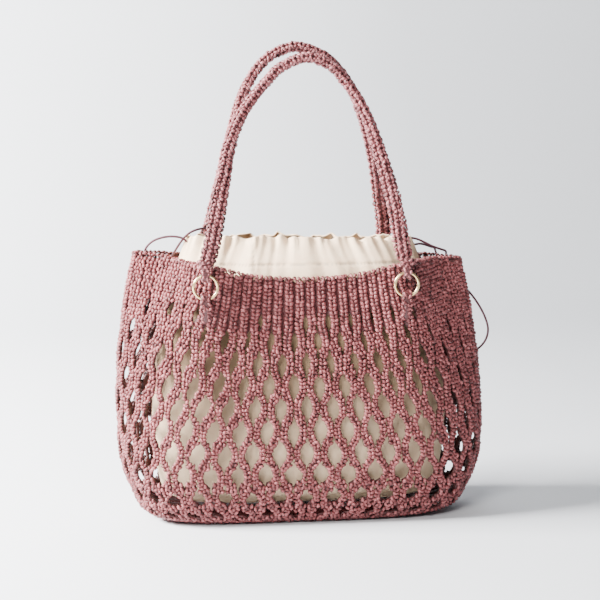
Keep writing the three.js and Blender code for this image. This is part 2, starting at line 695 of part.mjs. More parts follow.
place("base", base(), cordPink);
place("net_wall", netWall(), cordPink);
place("pouch", pouch(), cream);

for (const [face, turn] of [["front", 0], ["back", Math.PI]]) {
  const side = new THREE.Group();
  side.rotation.z = turn;
  bag.add(side);
  for (const [end, sign] of [["left", -1], ["right", 1]]) {
    const seat = new THREE.Group();
    // The back is the front turned half round, so left and right change places there.
    seat.position.set((turn === 0 ? sign : -sign) * RING_X, -RING_Y, RING_Z);
    side.add(seat);
    place(`${face}_${end}_ring`, ring(), paleGold, seat);
    place(`${face}_${end}_tab`, ringTab(), cordPink, seat);
  }
}

const frontHandle = handle(FRONT_HANDLE_ROUTE, FRONT_HANDLE_RISE, FRONT_HANDLE_LEAN);
place("front_handle", frontHandle, handlePink);
const backRoute = BACK_HANDLE_ROUTE.map(({ across, rise }) => ({ across: -across, rise })).reverse();
const backHandle = handle(backRoute, BACK_HANDLE_RISE, BACK_HANDLE_LEAN);
place("back_handle", backHandle, handlePink).rotation.z = Math.PI;

place("left_drawstring", drawstring(LEFT_CORD_ROUTE), mauve);
place("right_drawstring", drawstring(RIGHT_CORD_ROUTE), mauve);

export default bag;
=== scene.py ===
"""Crochet cord bag with a cotton drawstring pouch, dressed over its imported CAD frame.

Lengths are in millimetres until a mesh or curve is made, which is in metres.
"""

import math

import bpy
import numpy as np
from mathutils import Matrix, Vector


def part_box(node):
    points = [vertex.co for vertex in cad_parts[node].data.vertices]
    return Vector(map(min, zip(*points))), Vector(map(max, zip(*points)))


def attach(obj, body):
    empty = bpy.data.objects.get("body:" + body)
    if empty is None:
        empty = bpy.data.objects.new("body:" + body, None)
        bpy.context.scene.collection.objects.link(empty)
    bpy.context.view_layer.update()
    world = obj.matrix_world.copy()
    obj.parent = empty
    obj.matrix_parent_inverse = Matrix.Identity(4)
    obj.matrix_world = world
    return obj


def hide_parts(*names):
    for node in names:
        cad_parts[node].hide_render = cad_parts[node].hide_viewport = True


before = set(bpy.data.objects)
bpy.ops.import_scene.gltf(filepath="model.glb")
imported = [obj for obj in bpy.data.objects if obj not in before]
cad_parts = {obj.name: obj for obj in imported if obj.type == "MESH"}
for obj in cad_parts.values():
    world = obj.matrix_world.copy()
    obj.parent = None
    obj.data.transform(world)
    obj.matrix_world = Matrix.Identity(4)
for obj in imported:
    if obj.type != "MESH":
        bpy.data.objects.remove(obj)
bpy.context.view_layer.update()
MM = 0.001

# The bag's sizes, as in the solids
HALF_WIDTH = 173.5
HALF_DEPTH = 62.0
RIM_HEIGHT = 250.0
RIM_SAG = 15.5
RIM_TILT = 4.5
RIGHT_FULLNESS = 6.0
TILT_LEVEL = 6
FULLEST_LEVEL = 4
FULL_SPAN = 3
WALL = 6.0
RIBS = 68
QUARTER = RIBS / 4
FACE_REACH = 10 / 17
RING_RADIUS = 10.9
RING_WIRE = 2.7
RING_Z = RIM_HEIGHT - 22.4
CORD_DIAMETER = 2.2

# Camera

CAMERA_AZIMUTH = -7.0
CAMERA_ELEVATION = 8.0
CAMERA_DISTANCE = 1300.0
CAMERA_TARGET = (1.0, 0.0, 206.0)
LENS = 81.25

azimuth = math.radians(CAMERA_AZIMUTH)
elevation = math.radians(CAMERA_ELEVATION)
away = Vector(
    (
        math.sin(azimuth) * math.cos(elevation),
        -math.cos(azimuth) * math.cos(elevation),
        math.sin(elevation),
    )
)
camera = bpy.data.objects.new("camera", bpy.data.cameras.new("camera"))
bpy.context.collection.objects.link(camera)
camera.data.sensor_width = 36
camera.data.lens = LENS
camera.data.clip_start = 0.05
camera.data.clip_end = 50
camera.location = (Vector(CAMERA_TARGET) + away * CAMERA_DISTANCE) * MM
camera.rotation_mode = "QUATERNION"
camera.rotation_quaternion = (-away).to_track_quat("-Z", "Y")
bpy.context.scene.camera = camera


# Helpers


def centripetal(points, count):
    """Points spaced evenly along the curve that the solids' tubes follow."""
    p = np.array(points, float)
    p = np.vstack([2 * p[0] - p[1], p, 2 * p[-1] - p[-2]])
    out = []
    for i in range(1, len(p) - 2):
        p0, p1, p2, p3 = p[i - 1 : i + 3]
        d0, d1, d2 = (
            max(1e-4, np.linalg.norm(b - a) ** 0.5)
            for a, b in ((p0, p1), (p1, p2), (p2, p3))
        )
        t1 = ((p1 - p0) / d0 - (p2 - p0) / (d0 + d1) + (p2 - p1) / d1) * d1
        t2 = ((p2 - p1) / d1 - (p3 - p1) / (d1 + d2) + (p3 - p2) / d2) * d1
        for t in np.linspace(0, 1, 24, endpoint=False):
            c2 = -3 * p1 + 3 * p2 - 2 * t1 - t2
            c3 = 2 * p1 - 2 * p2 + t1 + t2
            out.append(p1 + t1 * t + c2 * t * t + c3 * t**3)
    out.append(p[-2])
    return resample(np.array(out), count)


def arc_lengths(line):
    steps = np.linalg.norm(np.diff(line, axis=0), axis=1)
    return np.concatenate([[0.0], np.cumsum(steps)])


def resample(line, count):
    s = arc_lengths(line)
    at = np.linspace(0, s[-1], count)
    return np.stack([np.interp(at, s, line[:, k]) for k in range(line.shape[1])], axis=1)


def unit(v):
    return v / np.maximum(np.linalg.norm(v, axis=-1, keepdims=True), 1e-9)


def smooth(t):
    t = np.clip(t, 0.0, 1.0)
    return t * t * (3 - 2 * t)


def mesh_object(name, verts, tris, attributes=None, quads=None):
    """A smooth-shaded mesh object from arrays, in millimetres."""
    mesh = bpy.data.meshes.new(name)
    verts = np.asarray(verts, np.float32) * MM
    mesh.vertices.add(len(verts))
    mesh.vertices.foreach_set("co", verts.ravel())
    tris = np.asarray(tris, np.int32).reshape(-1, 3)
    quads = np.zeros((0, 4), np.int32) if quads is None else np.asarray(quads, np.int32)
    loops = np.concatenate([tris.ravel(), quads.ravel()]).astype(np.int32)
    starts = np.concatenate(
        [np.arange(len(tris)) * 3, len(tris) * 3 + np.arange(len(quads)) * 4]
    ).astype(np.int32)
    mesh.loops.add(len(loops))
    mesh.loops.foreach_set("vertex_index", loops)
    mesh.polygons.add(len(starts))
    mesh.polygons.foreach_set("loop_start", starts)
    mesh.update(calc_edges=True)
    mesh.polygons.foreach_set("use_smooth", np.ones(len(starts), bool))
    for key, values in (attributes or {}).items():
        layer = mesh.attributes.new(key, "FLOAT", "POINT")
        layer.data.foreach_set("value", np.asarray(values, np.float32).ravel())
    obj = bpy.data.objects.new(name, mesh)
    bpy.context.collection.objects.link(obj)
    return obj


def grid_quads(rows, columns, wrap_rows=False):
    """Quads of a grid whose vertices are numbered row by row, and whose columns close round."""
    r = np.arange(rows if wrap_rows else rows - 1)
    r, c = (x.ravel() for x in np.meshgrid(r, np.arange(columns), indexing="ij"))
    r2 = (r + 1) % rows
    c2 = (c + 1) % columns
    return np.stack(
        [r * columns + c, r * columns + c2, r2 * columns + c2, r2 * columns + c], axis=1
    )


# Materials


class Nodes:
    """Short calls for a material's nodes."""

    def __init__(self, name):
        self.material = bpy.data.materials.new(name)
        self.material.use_nodes = True
        self.tree = self.material.node_tree
        self.shader = self.tree.nodes["Principled BSDF"]

    def add(self, kind, **settings):
        node = self.tree.nodes.new(kind)
        for key, value in settings.items():
            if key in node.inputs:
                node.inputs[key].default_value = value
            else:
                setattr(node, key, value)
        return node

    def link(self, out, into):
        self.tree.links.new(out, into)

    def coordinates(self):
        return self.add("ShaderNodeTexCoord").outputs["Object"]

    def noise(self, scale, detail=3.0, roughness=0.5, stretch=None):
        node = self.add("ShaderNodeTexNoise", Scale=scale, Detail=detail, Roughness=roughness)
        source = self.coordinates()
        if stretch:
            mapping = self.add("ShaderNodeMapping", Scale=stretch)
            self.link(source, mapping.inputs["Vector"])
            source = mapping.outputs["Vector"]
        self.link(source, node.inputs["Vector"])
        return node.outputs["Fac"]

    def attribute(self, name):
        return self.add("ShaderNodeAttribute", attribute_name=name).outputs["Fac"]

    def ramp(self, source, stops):
        node = self.add("ShaderNodeValToRGB")
        ramp = node.color_ramp
        while len(ramp.elements) < len(stops):
            ramp.elements.new(0.5)
        for element, (place, colour) in zip(ramp.elements, stops):
            element.position = place
            element.color = (*colour, 1)
        self.link(source, node.inputs["Fac"])
        return node.outputs["Color"]

    def mix(self, factor, a, b):
        node = self.add("ShaderNodeMix", data_type="RGBA")
        self.link(factor, node.inputs[0])
        for value, socket in ((a, node.inputs[6]), (b, node.inputs[7])):
            if isinstance(value, tuple):
                socket.default_value = (*value, 1)
            else:
                self.link(value, socket)
        return node.outputs[2]

    def math(self, operation, a, b=0.0):
        node = self.add("ShaderNodeMath", operation=operation)
        for value, socket in ((a, node.inputs[0]), (b, node.inputs[1])):
            if isinstance(value, (int, float)):
                socket.default_value = value
            else:
                self.link(value, socket)
        return node.outputs[0]

    def bump(self, height, distance, strength=1.0, after=None):
        node = self.add("ShaderNodeBump", Distance=distance, Strength=strength)
        self.link(height, node.inputs["Height"])
        if after is not None:
            self.link(after, node.inputs["Normal"])
        return node.outputs["Normal"]


def crochet_material(name, light, middle, dark, painted_shade_colour):
    """Polyester cord: each lobe has its own tone, and painted shade darkens the crevices between
    lobes.
    """
    n = Nodes(name)
    tone = n.attribute("tone")
    mottle = n.noise(900.0, 3.0, 0.6)
    together = n.math("ADD", n.math("MULTIPLY", tone, 0.75), n.math("MULTIPLY", mottle, 0.25))
    colour = n.ramp(together, [(0.2, dark), (0.5, middle), (0.8, light)])
    # painted shade: a near-black colour is mixed in where grains meet, under them and on the backing
    deep = n.math("POWER", n.attribute("deep"), 1.3)
    n.link(n.mix(deep, colour, painted_shade_colour), n.shader.inputs["Base Color"])
    fibres = n.noise(2600.0, 2.0, 0.7)
    strands = n.add("ShaderNodeTexWave", Scale=420.0, Distortion=6.0, Detail=1.0)
    n.link(n.coordinates(), strands.inputs["Vector"])
    soft = n.bump(fibres, 0.00035, 0.5)
    n.link(n.bump(strands.outputs["Fac"], 0.0003, 0.35, soft), n.shader.inputs["Normal"])
    n.shader.inputs["Roughness"].default_value = 0.36
    n.shader.inputs["Specular IOR Level"].default_value = 0.4
    n.shader.inputs["Sheen Weight"].default_value = 0.04
    n.shader.inputs["Sheen Roughness"].default_value = 0.4
    return n.material


# each cord's last colour is painted shade for the crevices between its grains
BODY_CORD = crochet_material(
    "body_cord",
    light=(0.395, 0.115, 0.118),
    middle=(0.230, 0.056, 0.058),
    dark=(0.112, 0.021, 0.022),
    painted_shade_colour=(0.022, 0.002, 0.002),
)
HANDLE_CORD = crochet_material(
    "handle_cord",
    light=(0.450, 0.155, 0.162),
    middle=(0.280, 0.080, 0.086),
    dark=(0.140, 0.029, 0.031),
    painted_shade_colour=(0.014, 0.001, 0.001),
)


def cotton_material():
    n = Nodes("pouch_cotton")
    mottle = n.noise(140.0, 5.0, 0.6)
    colour = n.ramp(mottle, [(0.25, (0.900, 0.620, 0.390)), (0.75, (0.960, 0.740, 0.500))])
    slub = n.noise(160.0, 2.0, 0.5, stretch=(1.0, 1.0, 14.0))
    colour = n.mix(n.math("MULTIPLY", slub, 0.25), colour, (0.950, 0.780, 0.590))
    stitch = n.attribute("stitch")
    # painted shade: the cotton seen through the net is darkened towards a deep brown
    colour = n.mix(n.attribute("enclosed"), colour, (0.240, 0.140, 0.072))
    n.link(n.mix(stitch, colour, (0.330, 0.260, 0.200)), n.shader.inputs["Base Color"])
    weave = []
    for axis in ("X", "Z"):
        wave = n.add(
            "ShaderNodeTexWave", Scale=760.0, Distortion=1.2, Detail=1.0, bands_direction=axis
        )
        n.link(n.coordinates(), wave.inputs["Vector"])
        weave.append(wave.outputs["Fac"])
    cross = n.math("MULTIPLY", weave[0], weave[1])
    creases = n.noise(70.0, 4.0, 0.55)
    soft = n.bump(creases, 0.0016, 0.35)
    n.link(n.bump(cross, 0.00022, 0.5, soft), n.shader.inputs["Normal"])
    n.shader.inputs["Roughness"].default_value = 0.88
    n.shader.inputs["Specular IOR Level"].default_value = 0.25
    n.shader.inputs["Sheen Weight"].default_value = 0.15
    return n.material


def metal_material():
    n = Nodes("pale_gold")
    wear = n.noise(300.0, 4.0, 0.6)
    colour = n.ramp(wear, [(0.3, (0.720, 0.490, 0.230)), (0.7, (0.850, 0.640, 0.350))])
    n.link(colour, n.shader.inputs["Base Color"])
    rough = n.add("ShaderNodeMapRange")
    n.link(wear, rough.inputs["Value"])
    rough.inputs["To Min"].default_value = 0.2
    rough.inputs["To Max"].default_value = 0.34
    n.link(rough.outputs["Result"], n.shader.inputs["Roughness"])
    n.link(n.bump(n.noise(1400.0, 2.0, 0.5), 0.00006, 0.3), n.shader.inputs["Normal"])
    n.shader.inputs["Metallic"].default_value = 1.0
    return n.material


def drawstring_material():
    n = Nodes("drawstring")
    wave = n.add("ShaderNodeTexWave", Scale=520.0, Distortion=0.8, bands_direction="DIAGONAL")
    n.link(n.coordinates(), wave.inputs["Vector"])
    tint = n.math("ADD", n.math("MULTIPLY", wave.outputs["Fac"], 0.6), n.noise(400.0, 2.0))
    colour = n.ramp(tint, [(0.3, (0.055, 0.014, 0.022)), (1.0, (0.115, 0.033, 0.046))])
    n.link(colour, n.shader.inputs["Base Color"])
    n.link(n.bump(wave.outputs["Fac"], 0.0004, 0.6), n.shader.inputs["Normal"])
    n.shader.inputs["Roughness"].default_value = 0.48
    return n.material


COTTON = cotton_material()
PALE_GOLD = metal_material()
DRAWSTRING = drawstring_material()


def dress(obj, material, slot, *nodes):
    """Gives a piece its material and its body, and hides the frame's nodes that it stands for. The
    slot is not used.
    """
    obj.data.materials.clear()
    obj.data.materials.append(material)
    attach(obj, "root")
    if nodes:
        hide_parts(*nodes)
    return obj


# Drawstrings

LEFT_CORD_ROUTE = [
    (-106.9, -4.5, 264.1), (-111.4, -5, 267.4), (-119.5, -5, 269), (-129, -5, 268.3),
    (-139, -4, 264.5), (-145.5, -2, 257.5), (-147.3, 0, 248), (-147, 1, 236), (-142.5, 2, 224),
    (-135, 3, 221), (-128.5, 3, 228), (-125, 3, 238), (-121.5, 3, 248), (-116.5, 1, 257),
    (-110.5, -2, 266), (-104, -2, 272), (-96, 1, 275), (-88.5, 7, 275), (-83.5, 13.5, 271.5),
    (-82, 18, 265.5),
]
RIGHT_CORD_ROUTE = [
    (111.8, -3, 258.5), (117.5, -1, 259), (124, 3, 257.3), (130.5, 8.5, 254.8), (135, 14.5, 253.2),
    (138, 20, 248), (143, 24.5, 239), (151, 26.5, 229), (161, 25.5, 220), (171, 22, 210),
    (180.5, 17.5, 197), (187.5, 14.5, 183), (190.3, 13.5, 171), (187.5, 14, 160), (180, 17, 151),
    (170, 24, 146.5), (160, 31.5, 149), (153, 36, 158), (149.5, 36.5, 174), (148, 33.5, 194),
    (147.5, 28, 216), (147, 20.5, 233), (146.5, 13.5, 246.3), (145, 8.5, 250.6),
    (139.5, 4.5, 252.8), (131, 3.5, 255.9), (122, 4, 260.3), (115, 4.5, 263.3),
    (109.3, 4.5, 264.3),
]


def drawstring(name, route):
    line = centripetal(route, len(route) * 5)
    curve = bpy.data.curves.new(name, "CURVE")
    curve.dimensions = "3D"
    spline = curve.splines.new("POLY")
    spline.points.add(len(line) - 1)
    for point, place in zip(spline.points, line * MM):
        point.co = (*place, 1)
    curve.bevel_depth = CORD_DIAMETER / 2 * MM
    curve.bevel_resolution = 5
    curve.use_fill_caps = True
    for part in curve.splines:
        part.use_smooth = True
    obj = bpy.data.objects.new(name, curve)
    bpy.context.collection.objects.link(obj)
    dress(obj, DRAWSTRING, "drawstring", name)
    return obj


drawstring("left_drawstring", LEFT_CORD_ROUTE)
drawstring("right_drawstring", RIGHT_CORD_ROUTE)

# The wall's surface

PLACES = np.array([0, 5, 10, 13.5, 17]) / 17
SAG = [1, 0.8, 0.12, 0, 0]
# height share, sag share, x shares at the five places, y shares at the five places
SECTIONS = [
    (0.012, 0.0, (0, 0.215, 0.44, 0.59, 0.65), (0.62, 0.62, 0.59, 0.41, 0)),
    (0.017, 0.0, (0, 0.265, 0.535, 0.69, 0.75), (0.74, 0.74, 0.69, 0.48, 0)),
    (0.04, 0.0, (0, 0.33, 0.65, 0.81, 0.865), (0.85, 0.85, 0.78, 0.53, 0)),
    (0.098, 0.0, (0, 0.362, 0.7, 0.86, 0.918), (0.935, 0.935, 0.86, 0.55, 0)),
    (0.22, 0.0, (0, 0.371, 0.725, 0.907, 0.982), (1, 1, 0.92, 0.6, 0)),
    (0.4, 0.1, (0, 0.357, 0.702, 0.907, 1), (0.99, 0.99, 0.92, 0.58, 0)),
    (0.58, 0.3, (0, 0.333, 0.655, 0.877, 0.997), (0.935, 0.935, 0.88, 0.5, 0)),
    (0.748, 0.65, (0, 0.31, 0.605, 0.83, 0.971), (0.863, 0.863, 0.847, 0.403, 0)),
    (0.888, 0.9, (0, 0.29, 0.556, 0.772, 0.936), (0.79, 0.798, 0.83, 0.322, 0)),
    (1.0, 1.0, (0, 0.275, 0.53, 0.731, 0.898), (0.734, 0.75, 0.806, 0.274, 0)),
]
TOP_LEVEL = len(SECTIONS) - 1


def across_columns(values, place, front_sign, end_sign):
    """The table's values at five places, at any share of a quarter."""
    v = np.array([front_sign * values[1], *values, end_sign * values[3]])
    p = np.array([-PLACES[1], *PLACES, 2 - PLACES[3]])
    slope = np.zeros(len(v))
    slope[1:-1] = (v[2:] - v[:-2]) / (p[2:] - p[:-2])
    i = np.clip(np.searchsorted(p, place, side="right") - 1, 1, len(v) - 3)
    span = p[i + 1] - p[i]
    t = (place - p[i]) / span
    s, c = t * t, t * t * t
    held = (2 * c - 3 * s + 1) * v[i] + (3 * s - 2 * c) * v[i + 1]
    return held + ((c - 2 * s + t) * slope[i] + (c - s) * slope[i + 1]) * span


def quarter_of(rib):
    """A rib's share of its quarter, and the signs of x and y there."""
    around = np.mod(rib, RIBS)
    turn = np.floor(around / QUARTER).astype(int)
    along = around / QUARTER - turn
    share = np.where(turn % 2 == 0, along, 1 - along)
    x_sign = np.where(turn < 2, 1.0, -1.0)
    y_sign = np.where((turn == 0) | (turn == 3), -1.0, 1.0)
    return share, x_sign, y_sign


def even_point(rib, level):
    """Points on the middle of an even bag's wall."""
    share, x_sign, y_sign = quarter_of(rib)
    sag = across_columns(SAG, share, 1, 1)
    rows = []
    for index, (height, droop, xs, ys) in enumerate(SECTIONS):
        x = x_sign * HALF_WIDTH * across_columns(xs, share, -1, 1)
        y = y_sign * HALF_DEPTH * across_columns(ys, share, 1, -1)
        z = np.full_like(x, WALL / 2) if index == 0 else height * RIM_HEIGHT - droop * RIM_SAG * sag
        rows.append(np.stack([x, y, z], axis=-1))
    below = 2 * rows[0] - rows[1]
    below[..., 2] = rows[1][..., 2]
    table = np.stack([below, *rows, 2 * rows[-1] - rows[-2]])
    i = np.clip(np.floor(level).astype(int), 0, TOP_LEVEL - 1)
    t = (level - i)[..., None]

    def pick(step):
        return np.take_along_axis(table, (i + step)[None, ..., None].repeat(3, -1), 0)[0]

    p0, p1, p2, p3 = (pick(step) for step in range(4))
    return 0.5 * (
        2 * p1
        + (p2 - p0) * t
        + (2 * p0 - 5 * p1 + 4 * p2 - p3) * t**2
        + (3 * p1 - p0 - 3 * p2 + p3) * t**3
    )


def wall_point(rib, level):
    """Points on the middle of the wall, with the rim's tilt and the fuller right end."""
    rib, level = np.broadcast_arrays(np.asarray(rib, float), np.asarray(level, float))
    point = even_point(rib, level)
    share, x_sign, _ = quarter_of(rib)
    at_end = smooth((share - FACE_REACH) / (1 - FACE_REACH))
    tilt = smooth((level - TILT_LEVEL) / (TOP_LEVEL - TILT_LEVEL))
    point[..., 2] -= x_sign * RIM_TILT * at_end * tilt
    full = smooth(level / FULLEST_LEVEL) * (1 - smooth((level - FULLEST_LEVEL) / FULL_SPAN))
    point[..., 0] += np.where(x_sign > 0, RIGHT_FULLNESS * at_end * full, 0)
    return point


def wall_frame(rib, level):
    """Points, outward normals and the length of one rib's width there."""
    e = 1e-3
    p = wall_point(rib, level)
    around = (wall_point(rib + e, level) - wall_point(rib - e, level)) / (2 * e)
    high = np.minimum(level + e, TOP_LEVEL)
    up = wall_point(rib, high) - wall_point(rib, np.maximum(high - 2 * e, 0))
    return p, unit(np.cross(around, up)), around


LEVELS = np.linspace(0, TOP_LEVEL, 1200)
END_HEIGHTS = even_point(np.full(1200, QUARTER), LEVELS)[:, 2] / RIM_HEIGHT


def height_share(level):
    """The height, as a share of the rim's, that the wall's ends have at a level."""
    return np.interp(level, LEVELS, END_HEIGHTS)


# Plaited stitches

LOBE_SIDES = 5
# places along a grain, its rings' sizes there and how much painted shade darkens them
LOBE_T = np.array([-0.02, 0.2, 0.5, 0.8, 1.02])
LOBE_SIZE = np.array([0.84, 1.04, 0.84])
LOBE_END_SHADE = np.array([0.35, 0.0, 0.35])
LOBE_RINGS = len(LOBE_SIZE)
LOBE_VERTS = LOBE_RINGS * LOBE_SIDES + 2


def lobe_faces():
    """A grain's triangles: a tip, its rings and the other tip."""
    faces = []
    last = LOBE_VERTS - 1
    for i in range(LOBE_SIDES):
        j = (i + 1) % LOBE_SIDES
        faces.append((0, 1 + j, 1 + i))
        for ring in range(LOBE_RINGS - 1):
            a, b = 1 + ring * LOBE_SIDES + i, 1 + ring * LOBE_SIDES + j
            faces.append((a, b, b + LOBE_SIDES))
            faces.append((a, b + LOBE_SIDES, a + LOBE_SIDES))
        top = 1 + (LOBE_RINGS - 1) * LOBE_SIDES
        faces.append((top + i, top + j, last))
    return np.array(faces, np.int32)


LOBE_FACES = lobe_faces()


def grains(points, along, normals, offset, angle, length, radii, rng, top, jitter):
    """Plump grains of cord, one at each point, offset to the side and turned by an angle from the
    strand's direction. Their ends dive under their neighbours."""
    n = len(points)
    side = unit(np.cross(along, normals))
    offset, angle, length, radii, top = (
        np.broadcast_to(np.asarray(x, float), (n,))[:, None]
        for x in (offset, angle, length, radii, top)
    )
    angle = angle + 0.2 * rng.standard_normal((n, 1))
    length = length * (1 + 0.10 * rng.standard_normal((n, 1)))
    reach = (LOBE_T[None] - 0.5) * length
    dome = np.sin(math.pi * np.clip(LOBE_T, 0, 1))[None] ** 0.7
    height = top - radii - 1.5 * (1 - dome) + 1.1 * jitter * rng.standard_normal((n, 1))
    tilt = 0.4 * rng.standard_normal((n, 1)) - 1.2
    height = height + tilt * (LOBE_T[None] - 0.5)
    centre = (
        points[:, None]
        + along[:, None] * (np.cos(angle) * reach)[..., None]
        + side[:, None] * (offset + np.sin(angle) * reach)[..., None]
        + normals[:, None] * height[..., None]
        + jitter * rng.standard_normal((n, 1, 3))
    )
    direction = unit(np.gradient(centre, axis=1))
    outward = np.broadcast_to(normals[:, None], centre.shape)
    up = unit(outward - (outward * direction).sum(-1, keepdims=True) * direction)
    across = np.cross(direction, up)
    size = radii * LOBE_SIZE[None] * (1 + 0.08 * rng.standard_normal((n, 1)))
    turn = np.arange(LOBE_SIDES) * 2 * math.pi / LOBE_SIDES
    ring = (
        centre[:, 1:-1, None]
        + up[:, 1:-1, None] * (np.cos(turn)[:, None] * size[..., None, None])
        + across[:, 1:-1, None] * (np.sin(turn)[:, None] * size[..., None, None])
    )
    verts = np.concatenate([centre[:, :1], ring.reshape(n, -1, 3), centre[:, -1:]], axis=1)
    faces = (LOBE_FACES[None] + (np.arange(n) * LOBE_VERTS)[:, None, None]).reshape(-1, 3)
    tone = np.clip(0.5 + 0.22 * rng.standard_normal((n, 1)), 0, 1)
    tone = np.broadcast_to(tone, (n, LOBE_VERTS)).ravel()
    # painted shade: each grain's underside, its two ends and its tips are darkened where its
    # neighbours would shadow it
    underside_shade = (0.5 - 0.5 * np.cos(turn)) ** 1.2
    deep = np.clip(LOBE_END_SHADE[:, None] + 0.9 * underside_shade[None], 0, 1).ravel()
    deep = np.concatenate([[1.0], deep, [1.0]])
    return verts.reshape(-1, 3), faces, tone, np.tile(deep, n)


def plait(
    work, points, along, normals, widths, radius, rng,
    top=3.0, jitter=0.2, crown=0.0, spacing=3.75, slant=0.74, length=5.1, mirror=0.0,
):
    """Rows of grains across a strand, one row at each point: neighbours slant opposite ways. Where a
    row has two grains and mirror is set, they make a V."""
    n = len(points)
    widths, crown, radius = (
        np.broadcast_to(np.asarray(x, float), (n,)) for x in (widths, crown, radius)
    )
    counts = np.clip(np.round(widths / spacing), 1, 8).astype(int)
    row = np.arange(n)
    for i in range(counts.max()):
        keep = counts > i
        radius_at = radius[keep]
        share = (i + 0.5) / counts[keep] - 0.5
        pair = counts[keep] == 2
        room = np.maximum(widths[keep] - np.where(pair, 0.7, 0.5) * radius_at, 0.5)
        shift = np.where(row[keep] % 2 == 0, 0.13, -0.13) * spacing
        offset = share * room + np.where(pair, 0.3, 1.0) * shift
        sign = np.where((row[keep] + i) % 2 == 0, 1.0, -1.0)
        at_edge = (i == 0) | (i == counts[keep] - 1)
        sign = sign * np.where(at_edge & ~pair, 0.65, 1.0)
        sign = np.where(pair & (mirror > 0), mirror * (2 * i - 1), sign)
        fall = crown[keep] * (2 * share) ** 2
        work.add(
            *grains(
                points[keep], along[keep], normals[keep], offset, sign * slant, length,
                radius_at, rng, top - fall, jitter,
            )
        )


def band(line, normals, side, widths, depth, thickness, sides=6):
    """A closed, lumpy ribbon behind a row of stitches."""
    n = len(line)
    angle = (np.arange(sides) + 0.5) * 2 * math.pi / sides
    lump = 1 + 0.10 * np.cos(np.arange(n) * math.pi)
    a = (widths / 2)[:, None] * np.cos(angle)[None]
    b = (thickness / 2 * lump)[:, None] * np.sin(angle)[None]
    centre = line - normals * depth
    verts = centre[:, None] + side[:, None] * a[..., None] + normals[:, None] * b[..., None]
    quads = grid_quads(n, sides)
    tris = np.concatenate([quads[:, [0, 1, 2]], quads[:, [0, 2, 3]]])
    fan = np.array([(0, i + 1, i) for i in range(1, sides - 1)])
    last = (n - 1) * sides
    end = np.array([(last, last + i, last + i + 1) for i in range(1, sides - 1)])
    return verts.reshape(-1, 3), np.concatenate([tris, fan, end])


BACKING_TONE = 0.4


class Work:
    """Collects stitches and their backing into one mesh."""

    def __init__(self):
        self.parts = []
        self.count = 0

    def add(self, verts, faces, tone, deep):
        self.parts.append((verts, faces + self.count, tone, deep))
        self.count += len(verts)

    # painted shade: the backing behind the stitches takes mostly the dark crevice colour, as if in
    # shadow
    def backing(self, verts, faces, deep=0.75):
        self.add(verts, faces, np.full(len(verts), BACKING_TONE), np.full(len(verts), deep))

    def build(self, name):
        verts, faces, tone, deep = (np.concatenate(x) for x in zip(*self.parts))
        return mesh_object(name, verts, faces, {"tone": tone, "deep": deep})


# The crochet body

PITCH = 3.5
GRAIN_RADIUS = 1.6
STRAND_LIMIT = 19.0
RIB_WIDTH = 9.0
BAND_FOOT = 0.68  # where the ribbed band starts, as a share of the rim's height
BACKING_DEPTH = 0.8
BACKING_THICKNESS = 3.4
RIM_PITCH = 4.4
# a row's middle and the height of its gaps in mm, half of a gap's width in ribs, how square its foot
# and its head are, how even its gaps are, and how much they lean
NET_ROWS = [
    (12.5, 7.5, 0.44, 3.0, 2.0, 1.0, 0.0),
    (29.0, 12.5, 0.50, 4.0, 2.0, 1.0, 0.0),
    (51.0, 18.0, 0.53, 3.2, 2.1, 1.0, 0.25),
    (71.2, 20.5, 0.50, 2.6, 2.1, 1.0, 0.6),
    (93.0, 22.0, 0.48, 2.3, 2.0, 1.0, 0.8),
    (115.0, 22.0, 0.46, 2.1, 2.0, 0.95, 1.0),
    (137.5, 23.0, 0.43, 2.0, 1.9, 0.9, 1.0),
    (161.0, 22.0, 0.38, 2.0, 1.8, 0.8, 1.0),
    (183.0, 20.0, 0.32, 2.0, 1.8, 0.6, 0.8),
    (204.0, 15.0, 0.24, 2.0, 1.8, 0.0, 0.5),
]
GAP_LEAN = 0.17  # how far a gap's head moves towards the bag's middle, in ribs
EVENNESS = np.array([row[5] for row in NET_ROWS])[:, None]
GAP_RNG = np.random.default_rng(5)
GAP_SCALE = 1 - (1 - EVENNESS) * 1.3 * GAP_RNG.random((len(NET_ROWS), RIBS))
GAP_SCALE = np.clip(GAP_SCALE * (1 + 0.06 * GAP_RNG.standard_normal(GAP_SCALE.shape)), 0, 2)
# the gaps above the middle are drawn together at the right end
GAP_SCALE[4:, 11:24] *= 0.5
GAP_SCALE[5:, 7:11] *= 0.8
GAP_SHIFT = 0.8 * GAP_RNG.standard_normal(GAP_SCALE.shape)


def lean_at(rib):
    """How far gaps lean at a rib: to the right on the front's left half, and the other way round on
    its right half."""
    from_front = np.mod(rib + QUARTER, 2 * QUARTER) - QUARTER
    return float(np.clip(-from_front / 7, -1, 1) * smooth((15 - abs(from_front)) / 3))


ROW_BOUNDS = [0.0] + [(a[0] + b[0]) / 2 for a, b in zip(NET_ROWS, NET_ROWS[1:])] + [215.0]


def strand_shape(j, height):
    """A strand's middle, in ribs, the share of a rib that it fills and that gaps take from it."""
    middle = np.full_like(height, j + 0.5)
    fill = np.ones_like(height)
    taken = np.zeros_like(height)
    for index, (centre, tall, half_gap, foot, head, _, leaning) in enumerate(NET_ROWS):
        left = (j % 2) == ((index + 1) % 2)
        rib = (j if left else j + 1) % RIBS
        side = 1 if left else -1
        e = (height - centre - GAP_SHIFT[index, rib]) / (tall / 2)
        power = np.where(e < 0, foot, head)
        gap = half_gap * GAP_SCALE[index, rib] * np.clip(1 - np.abs(e) ** power, 0, 1) ** 0.55
        middle = middle + gap / 2 * side
        taken = taken + gap
        low, high = ROW_BOUNDS[index : index + 2]
        within = (height >= low) & (height < high)
        wave = 2 * (height - low) / (high - low) - 1
        fill = fill - np.where(within, side * 2 * GAP_LEAN * leaning * lean_at(rib) * wave, 0)
    return middle, fill - taken, taken


